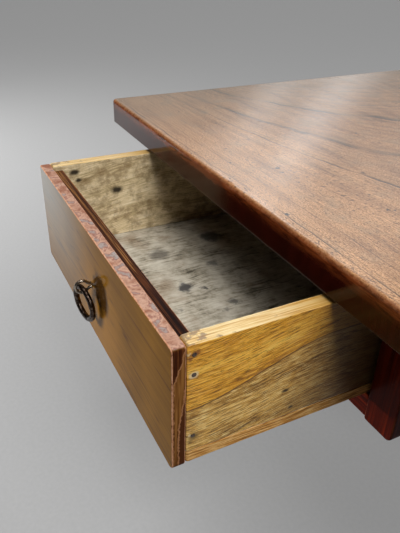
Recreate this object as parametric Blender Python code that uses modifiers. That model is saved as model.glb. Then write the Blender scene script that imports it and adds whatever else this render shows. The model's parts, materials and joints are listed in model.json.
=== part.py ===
"""Low calligraphy table with one drawer hung under the left end of its top.

The origin is the centre of the writing surface. +X runs along the front edge to the right,
+Y from the sitter to the back, +Z up. The drawer stands pulled out, as the table is often shown.
"""
import math

import bmesh
import bpy
from mathutils import Vector

for old_object in list(bpy.data.objects):
    bpy.data.objects.remove(old_object, do_unlink=True)

MM = 0.001

# Top and overall height
TOP_LENGTH = 909 * MM
TOP_DEPTH = 424 * MM
TOP_THICKNESS = 24 * MM
TOP_ROUND = 2.5 * MM
TABLE_HEIGHT = 303 * MM

# Legs, bearers and foot runners
LEG_SIZE = 28 * MM
LEG_END_INSET = 59 * MM
FRONT_SETBACK = 43.8 * MM
LEG_TENON = 14 * MM
LEG_TENON_UP = 20 * MM
LEG_TENON_DOWN = 13 * MM
BEARER_HEIGHT = 30 * MM
BEARER_NOSE = 8 * MM
BEARER_BACK_INSET = 4 * MM
DOVETAIL_NECK = 15 * MM
DOVETAIL_FLARE = 3 * MM
DOVETAIL_DEPTH = 8 * MM
PEG_RADIUS = 3 * MM
PEG_RISE = 11 * MM
PEG_LENGTH = 20.5 * MM
FOOT_HEIGHT = 22 * MM
FOOT_SIDE = 4 * MM
FOOT_TOE = 14 * MM
FOOT_ARCH = 5 * MM
FOOT_ARCH_MARGIN = 45 * MM

# Rear stretcher and its wedge keys
STRETCHER_HEIGHT = 30 * MM
STRETCHER_THICKNESS = 14 * MM
STRETCHER_ABOVE_FOOT = 46 * MM
STRETCHER_SHOULDER = 4 * MM
STRETCHER_CHEEK = 2 * MM
STRETCHER_HORN = 17 * MM
KEY_WIDTH = 7 * MM
KEY_TAPER = 1.4 * MM
KEY_THICKNESS = 5 * MM
KEY_HEIGHT = 36 * MM

# Drawer case hung under the top
POST_WIDTH = 26 * MM
POST_DEPTH = 26 * MM
POST_TENON = 14 * MM
POST_TENON_UP = 12 * MM
RAIL_HEIGHT = 18.5 * MM
RAIL_DEPTH = 20 * MM
RAIL_SETBACK = 1.8 * MM
RAIL_TENON = 9 * MM
RAIL_TENON_LENGTH = 11 * MM
PANEL_THICKNESS = 8 * MM
PANEL_TONGUE = 5 * MM
PANEL_FLOOR = 6 * MM
RUNNER_WIDTH = 28 * MM
RUNNER_TENON = 8 * MM
GUIDE_HEIGHT = 14 * MM

# Drawer
DRAWER_WIDTH = 288 * MM
DRAWER_PULLED = 100.5 * MM
DRAWER_TOP_GAP = 3.5 * MM
DRAWER_LEFT_PLAY = 3.6 * MM
DRAWER_RIGHT_PLAY = 4.5 * MM
DRAWER_BACK_ROOM = 12 * MM
FRONT_HEIGHT = 91 * MM
LIP_THICKNESS = 8.7 * MM
LIP_DROP = 3.3 * MM
TONGUE_THICKNESS = 9 * MM
TONGUE_STEP = 3.6 * MM
SIDE_THICKNESS = 10.8 * MM
BOTTOM_THICKNESS = 8.3 * MM
BOTTOM_FIRST_BOARD = 40 * MM
BOTTOM_BOARD = 78.3 * MM
DADO_DEPTH = 3 * MM
BACK_THICKNESS = 10 * MM
BACK_INSET = 12 * MM
BACK_STEP = 5 * MM
NAIL_HEAD_RADIUS = 2.2 * MM
NAIL_TIP_RADIUS = 0.9 * MM
NAIL_LENGTH = 23 * MM
NAIL_DROPS = (7 * MM, 21 * MM, 67 * MM)

# Iron pull
EYE_DROP = 44.8 * MM
EYE_LEFT_OF_CENTRE = 2 * MM
EYE_STAND_OFF = 7.2 * MM
EYE_WIRE = 2.2 * MM
EYE_ROOM = 3.2 * MM
EYE_PRONG = 11 * MM
EYE_LOOP_STEPS = 16
RING_RADIUS = 13.2 * MM
RING_WIRE = 4.4 * MM
RING_PLAY = 0.4 * MM
RING_TILT = math.radians(3)
RING_TURN = math.radians(10)
RING_STEPS = 36
RING_SECTION_STEPS = 10

# Small roundings and the clearance that every fitted joint keeps
ARRIS = 1.2 * MM
FINE_ARRIS = 0.7 * MM
GAP = 0.3 * MM
OVERRUN = 2 * MM
ARRIS_STEPS = 2
PIN_SIDES = 12
WIRE_RESOLUTION = 2

# Places worked out from the sizes above
left_end = -TOP_LENGTH / 2
right_end = TOP_LENGTH / 2
front_edge = -TOP_DEPTH / 2
back_edge = TOP_DEPTH / 2
underside = -TOP_THICKNESS
floor = -TABLE_HEIGHT
leg_centres_x = {
    "left": left_end + LEG_END_INSET + LEG_SIZE / 2,
    "right": right_end - LEG_END_INSET - LEG_SIZE / 2,
}
leg_centres_y = {
    "front": front_edge + FRONT_SETBACK + LEG_SIZE / 2,
    "rear": back_edge - FRONT_SETBACK - LEG_SIZE / 2,
}
bearer_bottom = underside - GAP - BEARER_HEIGHT
foot_top = floor + FOOT_HEIGHT

case_left = leg_centres_x["left"] + LEG_SIZE / 2
drawer_left = case_left + DRAWER_LEFT_PLAY
drawer_right = drawer_left + DRAWER_WIDTH
drawer_centre = (drawer_left + drawer_right) / 2
post_left = drawer_right + DRAWER_RIGHT_PLAY
post_right = post_left + POST_WIDTH
post_centre = (post_left + post_right) / 2
post_front = front_edge + FRONT_SETBACK
post_back = back_edge - FRONT_SETBACK

drawer_top = underside - DRAWER_TOP_GAP
lip_bottom = drawer_top - FRONT_HEIGHT
bottoms_under = lip_bottom + LIP_DROP
bottoms_top = bottoms_under + BOTTOM_THICKNESS
side_bottom = bottoms_top + GAP
rail_top = bottoms_under - GAP
rail_bottom = rail_top - RAIL_HEIGHT
front_rail_face = post_front + RAIL_SETBACK
front_rail_back = front_rail_face + RAIL_DEPTH
rear_rail_back = post_back - RAIL_SETBACK
rear_rail_face = rear_rail_back - RAIL_DEPTH

front_face = front_edge - DRAWER_PULLED
lip_back = front_face + LIP_THICKNESS
tongue_back = lip_back + TONGUE_THICKNESS
closed_front_face = front_rail_face - GAP - LIP_THICKNESS
drawer_length = rear_rail_face - DRAWER_BACK_ROOM - closed_front_face
drawer_rear = front_face + drawer_length

eye_x = drawer_centre - EYE_LEFT_OF_CENTRE
eye_height = drawer_top - EYE_DROP
eye_centre_y = front_face - EYE_STAND_OFF
eye_loop_radius = (RING_WIRE + RING_PLAY + EYE_ROOM + EYE_WIRE) / 2
eye_leg_half = EYE_WIRE / 2 + GAP / 2
ring_height = eye_height - eye_loop_radius + EYE_WIRE / 2 + RING_PLAY + RING_WIRE / 2

parts = bpy.data.collections.new("calligraphy_table")
cutters = bpy.data.collections.new("cutters")
bpy.context.scene.collection.children.link(parts)
bpy.context.scene.collection.children.link(cutters)


def finish(name, colour, roughness, metallic=0.0):
    """Return a Principled material."""
    material = bpy.data.materials.new(name)
    material.use_nodes = True
    shader = material.node_tree.nodes["Principled BSDF"]
    shader.inputs["Base Color"].default_value = (*colour, 1.0)
    shader.inputs["Roughness"].default_value = roughness
    shader.inputs["Metallic"].default_value = metallic
    return material


TOP_LACQUER = finish("red_brown_lacquer", (0.19, 0.055, 0.022), 0.25)
FRAME_LACQUER = finish("dark_maroon_lacquer", (0.055, 0.011, 0.006), 0.3)
FRONT_LACQUER = finish("golden_brown_lacquer", (0.17, 0.08, 0.022), 0.2)
SIDE_WOOD = finish("honey_drawer_wood", (0.42, 0.23, 0.07), 0.45)
BOTTOM_WOOD = finish("weathered_bottom_wood", (0.26, 0.21, 0.14), 0.7)
INNER_WOOD = finish("unfinished_cedar", (0.3, 0.18, 0.09), 0.7)
IRON = finish("forged_iron", (0.06, 0.045, 0.035), 0.45, 1.0)


def add_object(name, mesh, material, centre):
    """Put a mesh among the parts, or among the cutters when it has no material."""
    obj = bpy.data.objects.new(name, mesh)
    obj.location = centre
    if material is None:
        cutters.objects.link(obj)
        obj.hide_render = True
        obj.display_type = "WIRE"
    else:
        parts.objects.link(obj)
        mesh.materials.append(material)
    return obj


def box(name, low, high, material=None, arris=0.0):
    """Return a block between two corners, with rounded arrises if asked."""
    low = Vector(low)
    high = Vector(high)
    mesh = bpy.data.meshes.new(name)
    block = bmesh.new()
    bmesh.ops.create_cube(block, size=1.0)
    bmesh.ops.scale(block, vec=high - low, verts=block.verts)
    block.to_mesh(mesh)
    block.free()
    obj = add_object(name, mesh, material, (low + high) / 2)
    if arris:
        rounding = obj.modifiers.new("rounded arrises", "BEVEL")
        rounding.width = arris
        rounding.segments = ARRIS_STEPS
    return obj


def pin(name, centre, length, radius, material=None, tip_radius=None, turn=0.0):
    """Return a round pin along X; tip_radius tapers it towards its inner end."""
    mesh = bpy.data.meshes.new(name)
    rod = bmesh.new()
    tip = radius if tip_radius is None else tip_radius
    bmesh.ops.create_cone(
        rod, cap_ends=True, segments=PIN_SIDES, radius1=radius, radius2=tip, depth=length
    )
    rod.to_mesh(mesh)
    rod.free()
    mesh.shade_smooth()
    mesh.set_sharp_from_angle(angle=math.radians(40))
    obj = add_object(name, mesh, material, centre)
    obj.rotation_euler = (0, math.radians(90) + turn, 0)
    return obj


def prism(name, outline, centre, half_length, rotation, material=None):
    """Return a flat outline drawn in its own plane and pulled out to a length, as a closed mesh."""
    curve = bpy.data.curves.new(name, "CURVE")
    curve.dimensions = "2D"
    curve.fill_mode = "BOTH"
    curve.extrude = half_length
    spline = curve.splines.new("POLY")
    spline.points.add(len(outline) - 1)
    for point, (across, up) in zip(spline.points, outline):
        point.co = (across, up, 0, 1)
    spline.use_cyclic_u = True
    drawn = bpy.data.objects.new(name + "_outline", curve)
    bpy.context.scene.collection.objects.link(drawn)
    bpy.context.view_layer.update()
    seen = drawn.evaluated_get(bpy.context.evaluated_depsgraph_get())
    mesh = bpy.data.meshes.new_from_object(seen)
    bpy.data.objects.remove(drawn, do_unlink=True)
    solid = bmesh.new()
    solid.from_mesh(mesh)
    bmesh.ops.remove_doubles(solid, verts=solid.verts, dist=0.01 * MM)
    bmesh.ops.recalc_face_normals(solid, faces=solid.faces)
    solid.to_mesh(mesh)
    solid.free()
    mesh.materials.clear()
    mesh.name = name
    obj = add_object(name, mesh, material, centre)
    obj.rotation_euler = rotation
    return obj


def wire(name, points, diameter, material):
    """Return a round wire that follows the points."""
    curve = bpy.data.curves.new(name, "CURVE")
    curve.dimensions = "3D"
    curve.bevel_depth = diameter / 2
    curve.bevel_resolution = WIRE_RESOLUTION
    curve.use_fill_caps = True
    spline = curve.splines.new("POLY")
    spline.points.add(len(points) - 1)
    for point, place in zip(spline.points, points):
        point.co = (*place, 1)
    curve.materials.append(material)
    obj = bpy.data.objects.new(name, curve)
    parts.objects.link(obj)
    return obj


def combine(obj, tool, operation):
    """Cut the tool out of an object, or join it on."""
    change = obj.modifiers.new(tool.name, "BOOLEAN")
    change.operation = operation
    change.solver = "EXACT"
    change.object = tool


def cut(obj, tool):
    combine(obj, tool, "DIFFERENCE")


def join(obj, tool):
    combine(obj, tool, "UNION")


def tenon(owner, mate, name, low, high, out):
    """Join a tenon to its owner and cut its mortise in the mate. out is the way it points."""
    low = Vector(low)
    high = Vector(high)
    out = Vector(out)
    root = out * OVERRUN
    tongue_low = Vector(min(a, a - b) for a, b in zip(low, root))
    tongue_high = Vector(max(a, a - b) for a, b in zip(high, root))
    join(owner, box(name + "_tenon", tongue_low, tongue_high))
    room = Vector((GAP, GAP, GAP))
    mortise_low = low - room - Vector(max(0, b) for b in root)
    mortise_high = high + room + Vector(max(0, -b) for b in root)
    cut(mate, box(name + "_mortise", mortise_low, mortise_high))


def make_top():
    return box(
        "top_board",
        (left_end, front_edge, underside),
        (right_end, back_edge, 0),
        TOP_LACQUER,
        TOP_ROUND,
    )


def dovetail_outline(clearance, with_bearer):
    """The bearer's section, or with no bearer the groove that takes its dovetail."""
    neck = DOVETAIL_NECK / 2 + clearance
    flare = neck + DOVETAIL_FLARE
    top = DOVETAIL_DEPTH + clearance
    if not with_bearer:
        return [(neck, -OVERRUN), (neck, 0), (flare, top), (-flare, top), (-neck, 0), (-neck, -OVERRUN)]
    half = LEG_SIZE / 2
    return [
        (half, -GAP - BEARER_HEIGHT),
        (half, -GAP),
        (neck, -GAP),
        (neck, 0),
        (flare, top),
        (-flare, top),
        (-neck, 0),
        (-neck, -GAP),
        (-half, -GAP),
        (-half, -GAP - BEARER_HEIGHT),
    ]


def make_bearer(side, top):
    """A batten that slides into the underside of the top from the back."""
    front = front_edge + FRONT_SETBACK - BEARER_NOSE
    back = back_edge - BEARER_BACK_INSET
    along_y = (math.radians(90), 0, 0)
    centre = (leg_centres_x[side], (front + back) / 2, underside)
    bearer = prism(
        side + "_bearer",
        dovetail_outline(0, True),
        centre,
        (back - front) / 2,
        along_y,
        FRAME_LACQUER,
    )
    groove_front = front - GAP
    groove_back = back_edge + OVERRUN
    groove = prism(
        side + "_bearer_groove",
        dovetail_outline(GAP, False),
        (leg_centres_x[side], (groove_front + groove_back) / 2, underside),
        (groove_back - groove_front) / 2,
        along_y,
    )
    cut(top, groove)
    return bearer


def make_foot(side):
    """A runner along the floor, relieved underneath so that only its two ends stand."""
    half = LEG_SIZE / 2 + FOOT_SIDE
    x = leg_centres_x[side]
    low_y = leg_centres_y["front"] - LEG_SIZE / 2 - FOOT_TOE
    high_y = leg_centres_y["rear"] + LEG_SIZE / 2 + FOOT_TOE
    foot = box(
        side + "_foot_runner", (x - half, low_y, floor), (x + half, high_y, foot_top), FRAME_LACQUER, ARRIS
    )
    arch = box(
        side + "_foot_arch",
        (x - half - OVERRUN, low_y + FOOT_ARCH_MARGIN, floor - OVERRUN),
        (x + half + OVERRUN, high_y - FOOT_ARCH_MARGIN, floor + FOOT_ARCH),
    )
    cut(foot, arch)
    return foot


def make_leg(side, end, bearer, foot):
    """A square leg with a tenon at each end, and the peg that locks the upper one."""
    name = side + "_" + end
    x = leg_centres_x[side]
    y = leg_centres_y[end]
    half = LEG_SIZE / 2
    stub = LEG_TENON / 2
    leg_top = bearer_bottom - GAP
    leg_bottom = foot_top + GAP
    leg = box(
        name + "_leg", (x - half, y - half, leg_bottom), (x + half, y + half, leg_top), FRAME_LACQUER, ARRIS
    )
    tenon(
        leg,
        bearer,
        name + "_leg_head",
        (x - stub, y - stub, leg_top),
        (x + stub, y + stub, bearer_bottom + LEG_TENON_UP),
        (0, 0, 1),
    )
    tenon(
        leg,
        foot,
        name + "_leg_heel",
        (x - stub, y - stub, foot_top - LEG_TENON_DOWN),
        (x + stub, y + stub, leg_bottom),
        (0, 0, -1),
    )
    inward = 1 if side == "left" else -1
    outer = x - inward * half
    z = bearer_bottom + PEG_RISE
    hole_length = PEG_LENGTH + GAP + OVERRUN
    hole_x = outer + inward * (hole_length / 2 - OVERRUN)
    peg_hole = pin(name + "_peg_hole", (hole_x, y, z), hole_length, PEG_RADIUS + GAP)
    cut(leg, peg_hole)
    cut(bearer, peg_hole)
    pin(name + "_leg_peg", (outer + inward * PEG_LENGTH / 2, y, z), PEG_LENGTH, PEG_RADIUS, FRAME_LACQUER)
    return leg


def make_stretcher(legs):
    """The long rear stretcher. Its tenons pass through the legs and a wedge key holds each."""
    y = leg_centres_y["rear"]
    half_y = STRETCHER_THICKNESS / 2
    low = foot_top + STRETCHER_ABOVE_FOOT
    high = low + STRETCHER_HEIGHT
    inner_left = leg_centres_x["left"] + LEG_SIZE / 2 + GAP
    inner_right = leg_centres_x["right"] - LEG_SIZE / 2 - GAP
    stretcher = box(
        "rear_stretcher",
        (inner_left, y - half_y, low),
        (inner_right, y + half_y, high),
        FRAME_LACQUER,
        FINE_ARRIS,
    )
    reach = LEG_SIZE + GAP + STRETCHER_HORN
    tenon_half_y = half_y - STRETCHER_CHEEK
    tenon_low = low + STRETCHER_SHOULDER
    tenon_high = high - STRETCHER_SHOULDER
    key_half = KEY_THICKNESS / 2
    for side, root, out in (("left", inner_left, -1), ("right", inner_right, 1)):
        tip = root + out * reach
        tenon(
            stretcher,
            legs[side],
            side + "_stretcher",
            (min(root, tip), y - tenon_half_y, tenon_low),
            (max(root, tip), y + tenon_half_y, tenon_high),
            (out, 0, 0),
        )
        leg_face = leg_centres_x[side] + out * LEG_SIZE / 2
        middle = (tenon_low + tenon_high) / 2
        key_inner = GAP
        outline = [
            (out * key_inner, -KEY_HEIGHT / 2),
            (out * (key_inner + KEY_WIDTH - KEY_TAPER), -KEY_HEIGHT / 2),
            (out * (key_inner + KEY_WIDTH), KEY_HEIGHT / 2),
            (out * key_inner, KEY_HEIGHT / 2),
        ]
        upright = (math.radians(90), 0, 0)
        prism(
            side + "_stretcher_key",
            outline,
            (leg_face, y, middle),
            key_half,
            upright,
            FRAME_LACQUER,
        )
        slot_edges = sorted((leg_face - out * OVERRUN, leg_face + out * (KEY_WIDTH + 2 * GAP)))
        slot = box(
            side + "_key_slot",
            (slot_edges[0], y - key_half - GAP, tenon_low - OVERRUN),
            (slot_edges[1], y + key_half + GAP, tenon_high + OVERRUN),
        )
        cut(stretcher, slot)


def make_post(end, top):
    """A short post of the drawer case, tenoned up into the top."""
    if end == "front":
        low_y = post_front
    else:
        low_y = post_back - POST_DEPTH
    post = box(
        "case_" + end + "_post",
        (post_left, low_y, rail_bottom),
        (post_right, low_y + POST_DEPTH, underside - GAP),
        FRAME_LACQUER,
        ARRIS,
    )
    y = low_y + POST_DEPTH / 2
    stub = POST_TENON / 2
    tenon(
        post,
        top,
        end + "_post_head",
        (post_centre - stub, y - stub, underside - GAP),
        (post_centre + stub, y + stub, underside + POST_TENON_UP),
        (0, 0, 1),
    )
    return post


def make_rail(end, leg, post):
    """A rail of the drawer case between the left leg and the post."""
    face = front_rail_face if end == "front" else rear_rail_face
    left = case_left + GAP
    right = post_left - GAP
    rail = box(
        "case_" + end + "_rail",
        (left, face, rail_bottom),
        (right, face + RAIL_DEPTH, rail_top),
        FRAME_LACQUER,
        FINE_ARRIS,
    )
    y = face + RAIL_DEPTH / 2
    z = (rail_top + rail_bottom) / 2
    stub = RAIL_TENON / 2
    for mate, root, out in ((leg, left, -1), (post, right, 1)):
        tip = root + out * RAIL_TENON_LENGTH
        tenon(
            rail,
            mate,
            end + "_rail_to_" + mate.name,
            (min(root, tip), y - stub, z - stub),
            (max(root, tip), y + stub, z + stub),
            (out, 0, 0),
        )
    return rail


def make_runner(side, front_rail, rear_rail):
    """A runner under one drawer side, tenoned into both rails, and the guide strip on it."""
    if side == "left":
        low_x = case_left + GAP
        guide_low = low_x
        guide_high = drawer_left - GAP
    else:
        low_x = post_left - GAP - RUNNER_WIDTH
        guide_low = drawer_right + GAP
        guide_high = post_left - GAP
    high_x = low_x + RUNNER_WIDTH
    low_y = front_rail_back + GAP
    high_y = rear_rail_face - GAP
    runner = box(
        side + "_runner", (low_x, low_y, rail_bottom), (high_x, high_y, rail_top), INNER_WOOD, FINE_ARRIS
    )
    x = (low_x + high_x) / 2
    z = (rail_top + rail_bottom) / 2
    stub = RUNNER_TENON / 2
    for mate, root, out in ((front_rail, low_y, -1), (rear_rail, high_y, 1)):
        tip = root + out * RUNNER_TENON
        tenon(
            runner,
            mate,
            side + "_runner_to_" + mate.name,
            (x - stub, min(root, tip), z - stub),
            (x + stub, max(root, tip), z + stub),
            (0, out, 0),
        )
    guide_bottom = rail_top + GAP
    box(
        side + "_guide",
        (guide_low, low_y, guide_bottom),
        (guide_high, high_y, guide_bottom + GUIDE_HEIGHT),
        INNER_WOOD,
        FINE_ARRIS,
    )


def make_panel(name, low, high, grooved):
    """A case panel held in grooves of its neighbours."""
    panel = box(name, low, high, FRAME_LACQUER)
    room = Vector((GAP, GAP, GAP))
    groove = box(name + "_groove", Vector(low) - room, Vector(high) + room)
    for neighbour in grooved:
        cut(neighbour, groove)
    return panel


def make_case_panels(legs, posts, bearer, rear_rail):
    """The left, right and back panels of the drawer case."""
    half = PANEL_THICKNESS / 2
    front_leg_back = leg_centres_y["front"] + LEG_SIZE / 2
    rear_leg_front = leg_centres_y["rear"] - LEG_SIZE / 2
    x = leg_centres_x["left"]
    make_panel(
        "case_left_panel",
        (x - half, front_leg_back - PANEL_TONGUE, rail_bottom),
        (x + half, rear_leg_front + PANEL_TONGUE, bearer_bottom - GAP),
        (legs["left", "front"], legs["left", "rear"]),
    )
    make_panel(
        "case_right_panel",
        (post_centre - half, post_front + POST_DEPTH - PANEL_TONGUE, rail_bottom + PANEL_FLOOR),
        (post_centre + half, post_back - POST_DEPTH + PANEL_TONGUE, underside - GAP),
        (posts["front"], posts["rear"]),
    )
    y = rear_rail_face + RAIL_DEPTH / 2
    make_panel(
        "case_back_panel",
        (case_left - PANEL_TONGUE, y - half, rail_top - PANEL_TONGUE),
        (post_left + PANEL_TONGUE, y + half, underside - GAP),
        (legs["left", "rear"], posts["rear"], bearer, rear_rail),
    )


def make_drawer_front(drawer):
    """The lacquered front: a lip with a smaller tongue behind it and a slot for the eye."""
    front = box(
        "drawer_front",
        (drawer_left, front_face, lip_bottom),
        (drawer_right, lip_back, drawer_top),
        FRONT_LACQUER,
        ARRIS,
    )
    inset = SIDE_THICKNESS + GAP
    tongue = box(
        "drawer_front_tongue",
        (drawer_left + inset, lip_back - OVERRUN, side_bottom),
        (drawer_right - inset, tongue_back, drawer_top - TONGUE_STEP),
    )
    join(front, tongue)
    half_x = EYE_WIRE / 2 + GAP
    half_z = eye_leg_half + EYE_WIRE / 2 + GAP
    slot = box(
        "eye_slot",
        (eye_x - half_x, front_face - OVERRUN, eye_height - half_z),
        (eye_x + half_x, tongue_back + OVERRUN, eye_height + half_z),
    )
    cut(front, slot)
    carry(front, drawer)
    return front


def make_drawer_sides(drawer, front):
    """The two sides, nailed through into the tongue of the front."""
    sides = {}
    starts = {"left": (drawer_left, 1), "right": (drawer_right, -1)}
    for name, (outer, inward) in starts.items():
        inner = outer + inward * SIDE_THICKNESS
        side = box(
            "drawer_" + name + "_side",
            (min(outer, inner), lip_back + GAP, side_bottom),
            (max(outer, inner), drawer_rear, drawer_top),
            SIDE_WOOD,
            FINE_ARRIS,
        )
        nail_y = (lip_back + tongue_back) / 2
        nail_x = outer + inward * NAIL_LENGTH / 2
        turn = 0 if inward > 0 else math.pi
        for number, drop in enumerate(NAIL_DROPS, 1):
            place = (nail_x, nail_y, drawer_top - drop)
            label = "drawer_" + name + "_nail_" + str(number)
            hole = pin(
                label + "_hole",
                place,
                NAIL_LENGTH + 2 * GAP,
                NAIL_HEAD_RADIUS + GAP,
                tip_radius=NAIL_TIP_RADIUS + GAP,
                turn=turn,
            )
            cut(side, hole)
            cut(front, hole)
            nail = pin(label, place, NAIL_LENGTH, NAIL_HEAD_RADIUS, IRON, NAIL_TIP_RADIUS, turn)
            carry(nail, drawer)
        carry(side, drawer)
        sides[name] = side
    return sides


def make_drawer_back(drawer, sides):
    """The back, housed in a dado in each side."""
    rear = drawer_rear - BACK_INSET
    low = (
        drawer_left + SIDE_THICKNESS - DADO_DEPTH + GAP,
        rear - BACK_THICKNESS,
        side_bottom,
    )
    high = (
        drawer_right - SIDE_THICKNESS + DADO_DEPTH - GAP,
        rear,
        drawer_top - BACK_STEP,
    )
    back = box("drawer_back", low, high, SIDE_WOOD)
    room = Vector((GAP, GAP, GAP))
    dado = box("drawer_back_dado", Vector(low) - room - Vector((0, 0, OVERRUN)), Vector(high) + room)
    for side in sides.values():
        cut(side, dado)
    carry(back, drawer)


def make_drawer_bottom(drawer):
    """Boards that run front to back under the sides, the tongue and the back."""
    edges = [drawer_left, drawer_left + BOTTOM_FIRST_BOARD]
    edges.append(edges[-1] + BOTTOM_BOARD)
    edges.append(edges[-1] + BOTTOM_BOARD)
    edges.append(drawer_right + GAP)
    for number, (left, right) in enumerate(zip(edges, edges[1:]), 1):
        board = box(
            "drawer_bottom_board_" + str(number),
            (left, lip_back + GAP, bottoms_under),
            (right - GAP, drawer_rear, bottoms_top),
            BOTTOM_WOOD,
            FINE_ARRIS,
        )
        carry(board, drawer)


def eye_points():
    """The wire of the split-pin eye: prong, leg, loop, leg and prong, in the YZ plane."""
    bend = EYE_WIRE / 3
    prong_y = tongue_back + GAP + EYE_WIRE / 2
    neck = math.asin(eye_leg_half / eye_loop_radius)
    points = [
        (0, prong_y, eye_leg_half + EYE_PRONG),
        (0, prong_y, eye_leg_half + bend),
        (0, prong_y - bend, eye_leg_half),
    ]
    for step in range(EYE_LOOP_STEPS + 1):
        angle = neck + (2 * math.pi - 2 * neck) * step / EYE_LOOP_STEPS
        across = eye_centre_y + eye_loop_radius * math.cos(angle)
        points.append((0, across, eye_loop_radius * math.sin(angle)))
    points.append((0, prong_y - bend, -eye_leg_half))
    points.append((0, prong_y, -eye_leg_half - bend))
    points.append((0, prong_y, -eye_leg_half - EYE_PRONG))
    return [(eye_x + x, y, eye_height + z) for x, y, z in points]


def make_pull(drawer):
    """The iron eye fixed in the front, and the ring that hangs and swings in it, turned a little."""
    eye = wire("pull_eye", eye_points(), EYE_WIRE, IRON)
    carry(eye, drawer)
    bpy.ops.mesh.primitive_torus_add(
        major_radius=RING_RADIUS,
        minor_radius=RING_WIRE / 2,
        major_segments=RING_STEPS,
        minor_segments=RING_SECTION_STEPS,
        rotation=(math.radians(90), 0, 0),
    )
    ring = bpy.context.object
    ring.name = "pull_ring"
    for owner in list(ring.users_collection):
        owner.objects.unlink(ring)
    parts.objects.link(ring)
    ring.data.materials.append(IRON)
    ring.data.shade_smooth()
    # The torus hangs below its object's origin, which lies on the hinge axis in the eye's loop.
    for vertex in ring.data.vertices:
        vertex.co.y -= RING_RADIUS
    ring.rotation_euler = (math.radians(90) + RING_TILT, 0, RING_TURN)
    ring.location = (eye_x, eye_centre_y, ring_height)
    carry(ring, drawer)


def carry(obj, empty):
    """Let an object travel with the drawer's empty, without moving it now."""
    obj.parent = empty
    obj.location = obj.location - empty.location


def make_table():
    top = make_top()
    legs = {}
    bearers = {}
    for side in ("left", "right"):
        bearers[side] = make_bearer(side, top)
        foot = make_foot(side)
        for end in ("front", "rear"):
            legs[side, end] = make_leg(side, end, bearers[side], foot)
    make_stretcher({side: legs[side, "rear"] for side in ("left", "right")})
    posts = {}
    rails = {}
    for end in ("front", "rear"):
        posts[end] = make_post(end, top)
        rails[end] = make_rail(end, legs["left", end], posts[end])
    for side in ("left", "right"):
        make_runner(side, rails["front"], rails["rear"])
    make_case_panels(legs, posts, bearers["left"], rails["rear"])


def make_drawer():
    drawer = bpy.data.objects.new("drawer_slide", None)
    drawer.location = (drawer_centre, front_face, drawer_top)
    bpy.context.scene.collection.objects.link(drawer)
    front = make_drawer_front(drawer)
    sides = make_drawer_sides(drawer, front)
    make_drawer_back(drawer, sides)
    make_drawer_bottom(drawer)
    make_pull(drawer)


make_table()
make_drawer()
bpy.context.view_layer.update()
print("writing surface", TOP_LENGTH, "x", TOP_DEPTH, "m, height", TABLE_HEIGHT, "m")
print("drawer closes by", closed_front_face - front_face, "m; drawer length", drawer_length, "m")
print("ring hinge at", eye_x, eye_centre_y, ring_height, "axis", -math.cos(RING_TURN), -math.sin(RING_TURN))
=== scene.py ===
# %% [markdown]
# # A low writing table with its drawer pulled out
#
# The real table is a floor-seated desk of lacquered hardwood. Its thick top has been rubbed by sleeves for
# decades, the drawer below it has a glossy front, honey-coloured sides and a bare bottom with ink stains.
# The joiner's solids come first, as a fixed frame, and everything after this cell only dresses them.

# %% Load the frame
import functools
import json
import math

import bmesh
import bpy
from mathutils import Matrix, Vector, noise


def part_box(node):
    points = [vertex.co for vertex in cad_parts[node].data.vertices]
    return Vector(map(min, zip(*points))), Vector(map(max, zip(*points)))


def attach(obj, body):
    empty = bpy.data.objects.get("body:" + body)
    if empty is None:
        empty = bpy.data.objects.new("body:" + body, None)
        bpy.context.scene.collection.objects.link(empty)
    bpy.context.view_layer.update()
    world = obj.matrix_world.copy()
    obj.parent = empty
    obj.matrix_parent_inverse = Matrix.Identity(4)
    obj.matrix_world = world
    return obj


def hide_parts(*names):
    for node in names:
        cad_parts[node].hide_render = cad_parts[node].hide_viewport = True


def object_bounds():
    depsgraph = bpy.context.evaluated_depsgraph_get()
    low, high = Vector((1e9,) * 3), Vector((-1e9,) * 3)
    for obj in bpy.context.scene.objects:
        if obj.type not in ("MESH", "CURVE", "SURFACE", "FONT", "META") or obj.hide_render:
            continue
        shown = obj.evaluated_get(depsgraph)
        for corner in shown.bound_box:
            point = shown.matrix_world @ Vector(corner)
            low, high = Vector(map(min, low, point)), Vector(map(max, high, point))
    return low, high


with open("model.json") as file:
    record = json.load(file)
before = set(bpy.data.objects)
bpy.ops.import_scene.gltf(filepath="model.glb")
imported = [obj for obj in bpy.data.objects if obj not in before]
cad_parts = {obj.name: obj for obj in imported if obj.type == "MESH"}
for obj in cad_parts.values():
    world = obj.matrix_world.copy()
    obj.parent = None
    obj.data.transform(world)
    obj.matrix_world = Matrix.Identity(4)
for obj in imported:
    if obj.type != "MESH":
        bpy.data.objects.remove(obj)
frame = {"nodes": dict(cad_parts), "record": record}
cad_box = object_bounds()

MM = 0.001
scene = bpy.context.scene
scene.view_settings.view_transform = "Standard"
nodes = frame["nodes"]
behaviour = frame["record"]["behaviour"]
body_of = {node: body for body, members in behaviour["bodies"].items() for node in members}
slot_of = {part["node"]: part["material_slot"] for part in frame["record"]["subparts"]}

# %% [markdown]
# ## The camera
#
# The picture was taken close to the left front corner, with the lens a little above the top. A camera can be
# aimed with a Track To constraint, or turned by three plain angles. Angles are chosen here, because the
# picture is also rolled by a degree and a half, which a constraint would hide.

# %% Place the camera
CAMERA_PLACE = Vector((131.58, -404.91, 158.37)) * MM
LOOK_LEFT = math.radians(62.61)
LOOK_DOWN = math.radians(30.82)
ROLL = math.radians(1.48)
LENS_MM = 38.46
SENSOR_MM = 36.0

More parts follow.
